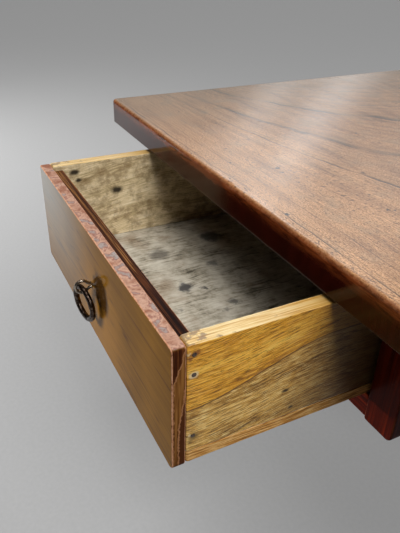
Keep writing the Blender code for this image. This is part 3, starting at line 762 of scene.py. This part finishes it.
def add_lip(add, spot, along):
    """The worn top of the lip, its colour and its patches: pinkish wood, and grey with red-brown rims."""
    patch = grain(add, spot, (12, 12, 12), 3.0, distortion=0.6)
    more = add("MapRange", (along, *front_ends, -0.06, 0.05))
    lip = add("ValToRGB", (add("Math.ADD", (patch, more)),), stops=WORN_LIP)
    speck = blotches(add, spot, 1.8, 3.0, (0.52, 0.66), (0.0, 0.45))
    return add("Mix", {0: speck, 6: lip, 7: "74463a"}, **BLEND), patch


def add_tongue(add, spot, along):
    """The colour of the tongue behind the lip: streaked along its length, darker towards the right."""
    strip = grain(add, spot, (130, 1.5, 4), 3.0, 0.6)
    darker = add("MapRange", (along, *front_ends, 0.08, -0.08))
    return add("ValToRGB", (add("Math.ADD", (strip, darker)),), stops=STREAKED_TONGUE)


print("the lip is", round(LIP_THICKNESS / MM, 1), "mm thick")

# %% End grain of the drawer front
# A split runs down the end of the lip: its share of the lip and its drop in mm, above and then below
WEDGE_SPLIT = (0.95, 2.5, 0.1, 26)
LOWER_SPLIT = (1.05, 25, 0.5, 58)


def add_end_grain(add, spot, depth, height):
    """The split end of the lip: a dark strip, a paler wedge, a dark strip, and bare lines between them."""
    share = add("MapRange", (depth, front_low.y / MM, lip_back))
    uneven = blotches(add, spot, 3.5, 4.0, (0.3, 0.7), (-0.1, 0.1), rough=0.6)
    share = add("Math.ADD", (share, uneven))
    drop = add("Math.SUBTRACT", (front_high.z / MM, height))
    streaks = grain(add, spot, (6, 1.2, 30), 3.0)
    ends = add("ValToRGB", (streaks,), stops=[(0.35, "24100a"), (0.5, "42200f"), (0.65, "663a1e")])
    wedge = add("ValToRGB", (streaks,), stops=[(0.35, "4c2a12"), (0.5, "6e4520"), (0.65, "8a5e30")])
    for split, filling in ((WEDGE_SPLIT, wedge), (LOWER_SPLIT, "4a2814")):
        top_share, top_drop, low_share, low_drop = split
        edge = add("MapRange", (drop, top_drop, low_drop, top_share, low_share))
        past = add("Math.SUBTRACT", (share, edge))
        behind = add("MapRange", (past, -0.02, 0.02))
        line = add("MapRange", (add("Math.ABSOLUTE", (past,)), 0.02, 0.08, 0.75, 0.0))
        ends = lay(add, ends, ((behind, filling), (line, "a87650")))
    return ends


print("the ends are", round((front_high.z - front_low.z) / MM), "mm high")

# %% Finish of the drawer front
def make_front_finish():
    """Golden brown lacquer: a clear glossy coat over stained wood, bare and pink-brown where hands rub."""
    material, add, shader, spot, facing = new_finish("golden_lacquer")
    along, depth, height = add("SeparateXYZ", (spot,), output=ALL_THREE)
    sideways, _, up = add("SeparateXYZ", (facing,), output=ALL_THREE)
    face = add_face(add, spot, along, height)
    lip, patch = add_lip(add, spot, along)
    ends = add_end_grain(add, spot, depth, height)
    tongue = add_tongue(add, spot, along)
    top = add("MapRange", (up, 0.6, 0.9))
    end = add("MapRange", (add("Math.ABSOLUTE", (sideways,)), 0.6, 0.9))
    behind = add("Math.GREATER_THAN", (depth, lip_back + 0.3))
    worn = add("Attribute", output=2, attribute_name="worn")
    worn = add("MapRange", (worn, 0.25, 0.75, 0.0, 0.95))
    chipped = grain(add, spot, (4,) * 3, 4.0, 0.65)
    bare = add("ValToRGB", (chipped,), stops=[(0.33, "3a1a10"), (0.42, "bd8260"), (0.6, "dcaa88")])
    tone = lay(add, face, ((top, lip), (end, ends), (behind, tongue), (worn, bare)))
    handled = add("Math.MAXIMUM", (top, end))
    gloss = add("MapRange", {0: handled, 3: 0.09, 4: 0.3})
    wave = grain(add, spot, (40,) * 3, 1.0)
    bump = add("Bump", {"Height": wave, "Strength": 0.12, "Distance": 0.3 * MM})
    hollow = add("Math.MULTIPLY", (patch, handled))
    bump = add("Bump", {"Height": hollow, "Strength": 0.35, "Distance": 0.4 * MM, "Normal": bump})
    feed(shader, {"Base Color": tone, "Roughness": gloss, "Normal": bump, "IOR": 1.08})
    return material


front_finish = make_front_finish()
print("finish", front_finish.name)

# %% Shape of the drawer front
TONGUE_STEP = 3.6 * MM
SIDE_THICKNESS = 10.8 * MM
SIDE_GAP = 0.3 * MM
LIP_ARRISES = (0.9 * MM,) * 2
LIP_CORNER = 2.4 * MM
LIP_LOWER_CORNER = 4.5 * MM
TONGUE_ROOT = 1.5 * MM
TONGUE_CORNER = 1.6 * MM
TONGUE_ARRISES = (0.3 * MM, 0.8 * MM)


def lip_wear(place, is_high):
    """Nicks along the outer arris, and a soft wander everywhere."""
    return 0.25 * MM * wander(place, 12 * MM) + nicks(place, 4 * MM, 0.42, 1.0 * MM, 3.0)


block = bmesh.new()
lip_high = Vector((front_high.x, front_low.y + LIP_THICKNESS, front_high.z))
corners = (LIP_LOWER_CORNER, LIP_LOWER_CORNER, LIP_CORNER, LIP_CORNER)
add_board(block, 1, front_low, lip_high, corners, LIP_ARRISES, FINE_STEP, lip_wear)
side_low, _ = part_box("drawer_right_side")
inset = SIDE_THICKNESS + SIDE_GAP
tongue_low = Vector((front_low.x + inset, lip_high.y - TONGUE_ROOT, side_low.z))
tongue_high = Vector((front_high.x - inset, front_high.y, front_high.z - TONGUE_STEP))
add_board(block, 1, tongue_low, tongue_high, (TONGUE_CORNER,) * 4, TONGUE_ARRISES, WIDE_STEP)
show_piece(block, "lacquered_drawer_front", front_finish, "drawer_front")

# %% [markdown]
# ## Drawer sides and back: honey-coloured softwood
#
# The sides are thin softwood boards with a thin amber varnish outside and nothing inside. Their top edges are
# rubbed pale by the table. Each is glued up from two strips that meet in a curved line, the lower one greyer.
# Two boards could be drawn for that, but then the grain would not follow the line. So each side is one board,
# and its finish works out how far a point lies below the glue line and bends the grain with it.

# %% Marks on the drawer sides
SEAM_REACH_MM = (9.0, 110.0)
SEAM_DROPS_MM = (46.5, 22.5)
NAIL_Y = (front_low.y + LIP_THICKNESS + front_high.y) / 2
NAIL_DROPS = (7 * MM, 21 * MM, 67 * MM)
OUTER_KNOTS = ((76.4, 57.3, 2.2), (81.9, 73.7, 1.7))
RED_SCARS = ((10.6, 8.8, 2.0), (14.0, 6.4, 3.0), (15.2, 5.2, 2.0))
PALE_SCARS = ((13.2, 21.0, 3.0), (9.4, 6.0, 0.9), (10.4, 5.2, 0.7), (11.0, 66.0, 1.0))
DARK_SCARS = ((13.6, 68.0, 4.0), (11.5, 72.0, 2.0))
INNER_KNOTS = ((67.3, 31.5, 4.5), (28.0, 8.0, 3.5), (31.0, 16.0, 2.5))
drawer_middle_x = (front_low.x + front_high.x) / 2


def add_side_marks(add, spot, marks, softness, squeeze=0.6):
    """Spots on a side, each given by its distance from the front face, from the top edge, and its radius.
    A squeeze below one makes them longer along the grain."""
    wavy = ragged(add, spot, 4, (0, 2.4, 2.4), 2.0)
    flat = add("VectorMath.MULTIPLY", (wavy, (0, squeeze, 1)))
    found = 0.0
    for back, drop, radius in marks:
        centre = (0, (front_low.y / MM + back) * squeeze, front_high.z / MM - drop)
        found = add("Math.MAXIMUM", (found, around(add, flat, centre, radius * (1 - softness), radius)))
    return found


def add_seam(add, spot):
    """How far a point lies below the curved glue line of a side, in millimetres."""
    _, depth, height = add("SeparateXYZ", (spot,), output=ALL_THREE)
    from_front = add("Math.SUBTRACT", (depth, front_low.y / MM))
    seam = add("MapRange", (from_front, *SEAM_REACH_MM, *SEAM_DROPS_MM), **SOFT)
    drop = add("Math.SUBTRACT", (front_high.z / MM, height))
    return add("Math.SUBTRACT", (drop, seam))


print("nails", round((NAIL_Y - front_low.y) / MM, 1), "mm behind the front face")

# %% Outside of the drawer sides
AMBER_WOOD = ((0.38, "784604"), (0.45, "b67614"), (0.52, "e0a028"), (0.6, "f4c458"))
GREYED_WOOD = ((0.37, "503410"), (0.44, "946822"), (0.51, "c49240"), (0.57, "deb25e"), (0.64, "f2d894"))
SCARS = ((DARK_SCARS, 0.8, "4a3c18"), (PALE_SCARS, 0.3, "d9c49a"), (RED_SCARS, 0.6, "70381c"))
SIDE_SHADE_MM = (-262, -165)


def add_varnished_side(add, spot, bent, along, below, tone):
    """The colour outside: amber wood above the glue line, greyer wood below it, with knots and scars."""
    amber = add("ValToRGB", (tone,), stops=AMBER_WOOD)
    greyed = add("ValToRGB", (tone,), stops=GREYED_WOOD)
    lower = add("MapRange", (below, -0.3, 0.3))
    # Hairlines of late wood are dark, and the open grain of the lower strip has caught pale dust
    hair = grain(add, bent, (3, 9, 0.5), 3.0, 0.7)
    dark_hair = add("MapRange", (hair, 0.54, 0.62, 0.0, 0.85))
    dust = add("MapRange", (hair, 0.38, 0.46, 0.95, 0.0))
    dusty = add("MapRange", {0: lower, 3: 0.25, 4: 1.0})
    dust = add("Math.MULTIPLY", (dust, dusty))
    line = add("MapRange", (add("Math.ABSOLUTE", (below,)), 0.2, 0.8, 0.85, 0.0))
    knots = add_side_marks(add, spot, OUTER_KNOTS, 0.7)
    layers = [(lower, greyed), (dark_hair, "4c2e0c"), (dust, "ecd290"), (line, "4a2410"), (knots, "2a1c0c")]
    # Hammer blows and rust have scarred the wood around the nails
    for scars, softness, stain in SCARS:
        scarred = add_side_marks(add, spot, scars, softness, squeeze=0.9)
        layers.append((add("Math.MULTIPLY", (scarred, 0.75)), stain))
    # Painted shade: the side darkens towards the back, where the table top shades it
    layers.append((add("MapRange", (along, *SIDE_SHADE_MM, 0.0, 0.85), **SOFT), "3a1a0a"))
    return lay(add, amber, layers)


print("scars on a side:", sum(len(scars) for scars, softness, stain in SCARS))

# %% Top edge of the drawer sides
DEEPER_EDGE_MM = (-265, -215)
HANDLED_MM = (14, 48)


def add_side_edge(add, spot, along):
    """The colour of the top edge: rubbed pale, and greyed by ink and hands in its first centimetres."""
    edge_grain = grain(add, spot, (1.1, 38, 8), 4.0, 0.65)
    pale = add("ValToRGB", (edge_grain,), stops=[(0.34, "a97a34"), (0.45, "d8ae64"), (0.6, "f0d8a0")])
    reach = [front_low.y / MM + back for back in HANDLED_MM]
    front_end = add("MapRange", (along, *reach, 0.14, -0.16))
    handled = grain(add, spot, (5,) * 3, 3.0)
    handled = add("Math.ADD", (handled, front_end))
    handled = add("MapRange", (handled, 0.56, 0.66, 0.0, 0.8))
    deeper = add("MapRange", (along, *DEEPER_EDGE_MM, 0.0, 0.55))
    return lay(add, pale, ((handled, "8a6e54"), (deeper, "b98838")))


print("hands have greyed the first", HANDLED_MM[1], "mm")

# %% Finish of the drawer sides
BARE_WOOD = ((0.34, "6c5a36"), (0.43, "bca57a"), (0.53, "e4cea4"), (0.66, "f6e8ca"))


def make_side_finish():
    """Amber-varnished softwood, fine straight grain; bare and greyer inside, pale where it is rubbed."""
    material, add, shader, spot, facing = new_finish("amber_softwood")
    bent = ragged(add, spot, 45, (4, 4, 5), 3.0, middle=0.0)
    # The grain leans with the glue line, which is drawn by the same growth
    below = add_seam(add, spot)
    lean = add("Math.MULTIPLY", (below, -0.55))
    thick, along, height = add("SeparateXYZ", (bent,), output=ALL_THREE)
    across = add("Math.MULTIPLY_ADD", (height, 0.45, lean))
    bent = add("CombineXYZ", (thick, along, across))
    fine = grain(add, bent, (4, 14, 0.75), 5.0, 0.75)
    broad = grain(add, bent, (20, 50, 7), 4.0)
    both = add("Mix", {0: 0.35, 2: fine, 3: broad})
    outside = add_varnished_side(add, spot, bent, along, below, both)
    bare = add("ValToRGB", (both,), stops=BARE_WOOD)
    blotch = blotches(add, spot, 12, 5.0, (0.46, 0.62), (0.0, 0.6), rough=0.7)
    inner_knots = add_side_marks(add, spot, INNER_KNOTS, 0.6)
    bare = lay(add, bare, ((blotch, "7c603a"), (inner_knots, "33291c")))

    # A face turned towards the middle of the drawer is its bare inside
    sideways, _, up = add("SeparateXYZ", (facing,), output=ALL_THREE)
    off_middle = add("SeparateXYZ", (spot,), output=0)
    off_middle = add("Math.SUBTRACT", (drawer_middle_x / MM, off_middle))
    inward = add("Math.MULTIPLY", (sideways, off_middle))
    inward = add("Math.GREATER_THAN", (inward, 20.0))
    rubbed = add("MapRange", (up, 0.25, 0.8))
    tone = lay(add, outside, ((inward, bare), (rubbed, add_side_edge(add, spot, along))))
    gloss = add("MapRange", (fine, 0.3, 0.7, 0.3, 0.5))
    bump = add("Bump", {"Height": fine, "Strength": 0.45, "Distance": 0.3 * MM})
    feed(shader, {"Base Color": tone, "Roughness": gloss, "Normal": bump})
    return material


side_finish = make_side_finish()
print("finish", side_finish.name)

# %% Shape of the drawer sides
SIDE_ARRISES = (0.7 * MM,) * 2
SIDE_CORNERS = (2.0 * MM,) * 4


def side_wear(place, is_high):
    """Runners and hands have softened the arrises unevenly."""
    return 0.25 * MM * wander(place, 14 * MM) + nicks(place, 7 * MM, 0.4, 0.8 * MM, 8.0)


for name in ("left", "right"):
    low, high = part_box("drawer_" + name + "_side")
    block = add_board(bmesh.new(), 0, low, high, SIDE_CORNERS, SIDE_ARRISES, USUAL_STEP, side_wear)
    show_piece(block, name + "_side_board", side_finish, "drawer_" + name + "_side")
low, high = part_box("drawer_back")
block = add_board(bmesh.new(), 1, low, high, SIDE_CORNERS, SIDE_ARRISES, COARSE_STEP, side_wear)
show_piece(block, "drawer_back_board", side_finish, "drawer_back")

# %% [markdown]
# ## Drawer bottom: bare weathered boards
#
# The bottom boards were never finished. They have turned grey-olive, with raised streaks along the grain and
# spots where ink was spilt. Their outer edges got the same amber varnish as the sides. The spots could be
# painted on an image by hand. A list of places with ragged outlines stays sharp from close by, so it is used.

# %% Finish of the bottom boards
INK_SPOTS = (
    (-237.4, -227.9, 8.5, 0.9), (-299.3, -225.7, 12.0, 0.5), (-230.1, -212.9, 3.5, 0.8),
    (-312.0, -164.7, 14.0, 0.8), (-264.7, -187.4, 7.0, 0.6), (-201.0, -199.3, 6.0, 0.7),
    (-194.0, -212.0, 4.0, 0.5), (-209.0, -246.0, 3.0, 0.5), (-160.0, -120.0, 9.0, 0.5),
)
WEATHERED_WOOD = ((0.36, "50483a"), (0.43, "948b78"), (0.49, "b6ac99"), (0.57, "ccc4b2"), (0.68, "dcd5c6"))
OUTER_EDGE_MM = 5.0


def make_bottom_finish():
    """Bare softwood gone grey-olive, dry and matt, with ink that has soaked in."""
    material, add, shader, spot, facing = new_finish("weathered_softwood")
    bent = ragged(add, spot, 35, (14, 8, 0), 3.0, middle=0.0)
    fine = grain(add, bent, (2.2, 26, 9), 5.0, 0.7)
    blot = grain(add, spot, (17,) * 3, 4.0, 0.65)
    both = add("Mix", {0: 0.5, 2: fine, 3: blot})
    tone = add("ValToRGB", (both,), stops=WEATHERED_WOOD)
    layers = [(blotches(add, spot, 28, 3.0, (0.52, 0.68), (0.0, 0.45)), "8a6f52")]
    soaked = ragged(add, spot, 7, (14, 14, 0), 4.0, 0.6)
    soaked = add("VectorMath.MULTIPLY", (soaked, (1, 1, 0)))
    for x, y, radius, strength in INK_SPOTS:
        layers.append((around(add, soaked, (x, y, 0), radius * 0.5, radius, strength), "2e2c30"))

    # The outer edges are varnished like the sides
    sideways = add("SeparateXYZ", (facing,), output=0)
    edge = add("MapRange", (add("Math.ABSOLUTE", (sideways,)), 0.05, 0.2))
    off_middle = add("SeparateXYZ", (spot,), output=0)
    off_middle = add("Math.SUBTRACT", (off_middle, drawer_middle_x / MM))
    off_middle = add("Math.ABSOLUTE", (off_middle,))
    half_width = (front_high.x - front_low.x) / 2 / MM
    outer = add("Math.GREATER_THAN", (off_middle, half_width - OUTER_EDGE_MM))
    edge = add("Math.MULTIPLY", (edge, outer))
    edge_grain = grain(add, spot, (3, 16, 0.9), 4.0, 0.7)
    amber = add("ValToRGB", (edge_grain,), stops=[(0.36, "6e4410"), (0.5, "bb8236"), (0.62, "e0b878")])
    tone = lay(add, tone, layers + [(edge, amber)])
    bump = add("Bump", {"Height": both, "Strength": 0.6, "Distance": 0.5 * MM})
    feed(shader, {"Base Color": tone, "Roughness": 0.7, "Normal": bump})
    return material


bottom_finish = make_bottom_finish()
print("finish", bottom_finish.name, "with", len(INK_SPOTS), "ink spots")

# %% Shape of the bottom boards
BOTTOM_ARRISES = (0.5 * MM,) * 2
BOTTOM_BOARDS = 4
for number in range(1, BOTTOM_BOARDS + 1):
    node = "drawer_bottom_board_" + str(number)
    low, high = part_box(node)
    block = add_board(bmesh.new(), 2, low, high, SIDE_CORNERS, BOTTOM_ARRISES, COARSE_STEP, side_wear)
    show_piece(block, "bottom_board_" + str(number), bottom_finish, node)

# %% [markdown]
# ## Runners and guides: bare cedar
#
# The strips that the drawer slides on are never seen by a visitor, so they stay plain sawn cedar. They could
# be drawn again as worn boards, but the drawer hides them, so the joiner's solids only get a finish.

# %% Finish of the runners
def make_inner_finish():
    """Sawn cedar: dull pink-brown, straight grain, matt."""
    material, add, shader, spot, _ = new_finish("sawn_cedar")
    fine = grain(add, spot, (2.5, 55, 2.5), 4.0)
    tone = add("ValToRGB", (fine,), stops=[(0.3, "5c3d24"), (0.55, "84603c"), (0.75, "9a7650")])
    bump = add("Bump", {"Height": fine, "Strength": 0.3, "Distance": 0.3 * MM})
    feed(shader, {"Base Color": tone, "Roughness": 0.75, "Normal": bump})
    return material


inner_finish = make_inner_finish()
for node, slot in slot_of.items():
    if slot == "inner_wood":
        dress(node, inner_finish)
print("finish", inner_finish.name)

# %% [markdown]
# ## Iron: ring, eye and nails
#
# A smith bent the ring and the eye from bar and left the dark scale on; fingers polished the eye bright. A
# torus would be too even, so a round section is swept along each path and its radius follows hammer marks.

# %% Finish of the iron
def make_iron_finish(name, dark, middle, bright, metallic=1.0):
    """Forged iron: dark scale with a worn, polished shine on the high spots. Rust makes it less metallic."""
    material, add, shader, spot, _ = new_finish(name)
    scale = grain(add, spot, (2.0,) * 3, 4.0)
    tone = add("ValToRGB", (scale,), stops=[(0.35, dark), (0.52, middle), (0.68, bright)])
    gloss = add("MapRange", (scale, 0.35, 0.7, 0.42, 0.22))
    bump = add("Bump", {"Height": scale, "Strength": 0.3, "Distance": 0.3 * MM})
    feed(shader, {"Base Color": tone, "Roughness": gloss, "Normal": bump, "Metallic": metallic})
    return material


dark_iron = make_iron_finish("forged_iron_scale", "241a14", "43352d", "7a6c62")
bright_iron = make_iron_finish("forged_iron_polished", "4a3f36", "8f8578", "c9c0b4")
nail_iron = make_iron_finish("rusted_nail_iron", "2c221c", "463a34", "6c6058", metallic=0.4)
print("finishes", dark_iron.name, bright_iron.name, nail_iron.name)

# %% The wire helper
WIRE_SIDES = 20
HAMMER_SIZE = 3.5 * MM


def add_wire(block, path, radii, plane, closed=False, hammer=0.0):
    """Sweeps a round section along a path that lies in one plane. plane is that plane's normal."""
    rings = []
    count = len(path)
    for at, (point, radius) in enumerate(zip(path, radii)):
        before = path[at - 1] if closed or at > 0 else point
        after = path[(at + 1) % count] if closed or at < count - 1 else point
        out = (after - before).normalized().cross(plane)
        ring = []
        for side in range(WIRE_SIDES):
            angle = 2 * math.pi * side / WIRE_SIDES
            ray = out * math.cos(angle) + plane * math.sin(angle)
            beaten = radius * (1 + hammer * wander(point + ray * radius, HAMMER_SIZE))
            ring.append(block.verts.new(point + ray * beaten))
        rings.append(ring)
    pairs = list(zip(rings, rings[1:] + rings[:1])) if closed else list(zip(rings, rings[1:]))
    faces = [] if closed else [block.faces.new(rings[0]), block.faces.new(rings[-1])]
    for lower, upper in pairs:
        for side in range(WIRE_SIDES):
            following = (side + 1) % WIRE_SIDES
            faces.append(block.faces.new((lower[side], lower[following], upper[following], upper[side])))
    bmesh.ops.recalc_face_normals(block, faces=faces)
    return block


print("a wire has", WIRE_SIDES, "sides")

# %% The ring
RING_RADIUS = 13.2 * MM
RING_WIRE = 4.4 * MM
RING_TILT = math.radians(3)
RING_POINTS = 96
RING_WEAR = 0.05
swing = next(joint for joint in behaviour["joints"] if joint["name"] == "ring_swing")
hinge = Vector(swing["pos_m"])
ring_turn = math.atan2(-swing["axis"][1], -swing["axis"][0])
hang = Matrix.Rotation(ring_turn, 3, "Z") @ Matrix.Rotation(RING_TILT, 3, "X")
path = []
radii = []
for step in range(RING_POINTS):
    angle = 2 * math.pi * step / RING_POINTS
    path.append(hinge + hang @ Vector((math.sin(angle), 0, math.cos(angle) - 1)) * RING_RADIUS)
    # The top of the ring has worn thin in the eye
    radii.append(RING_WIRE / 2 * (1 - RING_WEAR * max(0.0, math.cos(angle)) ** 3))
block = add_wire(bmesh.new(), path, radii, hang @ Vector((0, 1, 0)), closed=True, hammer=0.05)
show_piece(block, "forged_ring", dark_iron, "pull_ring")

# %% The eye
EYE_WIRE = 2.2 * MM
EYE_ROOM = 3.2 * MM
RING_PLAY = 0.4 * MM
EYE_PRONG = 11 * MM
LEG_GAP = 0.3 * MM
LOOP_POINTS = 40
LEG_POINTS = 14
SMOOTHING_ROUNDS = 6
loop_radius = (RING_WIRE + RING_PLAY + EYE_ROOM + EYE_WIRE) / 2
leg_half = EYE_WIRE / 2 + LEG_GAP / 2
eye_centre = hinge + Vector((0, 0, loop_radius - EYE_WIRE / 2 - RING_PLAY - RING_WIRE / 2))
prong_y = front_high.y + LEG_GAP + EYE_WIRE / 2
neck = math.asin(leg_half / loop_radius)
half = []
for step in range(LEG_POINTS):
    half.append(Vector((0, prong_y - eye_centre.y, leg_half + EYE_PRONG * (1 - step / LEG_POINTS))))
leg_start = loop_radius * math.cos(neck)
for step in range(LEG_POINTS):
    reach = prong_y - eye_centre.y
    half.append(Vector((0, reach + (leg_start - reach) * step / LEG_POINTS, leg_half)))
for step in range(LOOP_POINTS // 2):
    angle = neck + (math.pi - neck) * step / (LOOP_POINTS // 2)
    half.append(Vector((0, math.cos(angle), math.sin(angle))) * loop_radius)
tip = [Vector((0, -loop_radius, 0))]
path = half + tip + [Vector((0, point.y, -point.z)) for point in reversed(half)]
for _ in range(SMOOTHING_ROUNDS):
    inner = [(before + 2 * point + after) / 4 for before, point, after in zip(path, path[1:], path[2:])]
    path = path[:1] + inner + path[-1:]
path = [eye_centre + point for point in path]
block = add_wire(bmesh.new(), path, [EYE_WIRE / 2] * len(path), Vector((1, 0, 0)), hammer=0.06)
show_piece(block, "split_pin_eye", bright_iron, "pull_eye")

# %% The nails
# From the crown of the head to the tip: how far out of the wood, and the radius there
NAIL_PROFILE_MM = (
    (0.25, 0.2), (0.22, 0.8), (0.1, 1.35), (-0.1, 1.65), (-0.5, 1.75), (-0.9, 1.5), (-1.5, 1.35), (-23, 0.9)
)
for name, outer, outward in (("left", front_low.x, -1), ("right", front_high.x, 1)):
    for number, drop in enumerate(NAIL_DROPS, 1):
        head = Vector((outer, NAIL_Y, front_high.z - drop))
        path = [head + Vector((outward * out * MM, 0, 0)) for out, radius in NAIL_PROFILE_MM]
        radii = [radius * MM for out, radius in NAIL_PROFILE_MM]
        block = add_wire(bmesh.new(), path, radii, Vector((0, 0, 1)), hammer=0.12)
        show_piece(block, name + "_nail_" + str(number), nail_iron, "drawer_" + name + "_nail_" + str(number))
